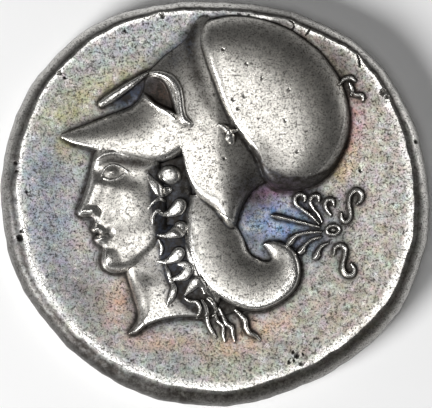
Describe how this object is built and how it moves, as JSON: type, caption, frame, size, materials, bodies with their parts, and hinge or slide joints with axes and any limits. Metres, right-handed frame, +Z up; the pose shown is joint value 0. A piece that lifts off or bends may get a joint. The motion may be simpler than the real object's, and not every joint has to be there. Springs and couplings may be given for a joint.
{
  "type": "stater",
  "caption": "Thick struck silver coin with an uneven round flan, a helmeted head in high relief on its upper side and a worn winged horse in low relief below.",
  "frame": {"origin": "under the middle of the coin, on the plane of the horse side's worn high points, which it lies on", "axes": "+Z up out of the head side, +X to the right of the head side seen upright, +Y to the top of the head side"},
  "size_m": [0.0216, 0.0204, 0.0035],
  "materials": {
    "silver": "old silver, worn bright on the high points and toned dark in the recesses"
  },
  "bodies": {
    "root": {"stater": "silver"}
  },
  "joints": []
}
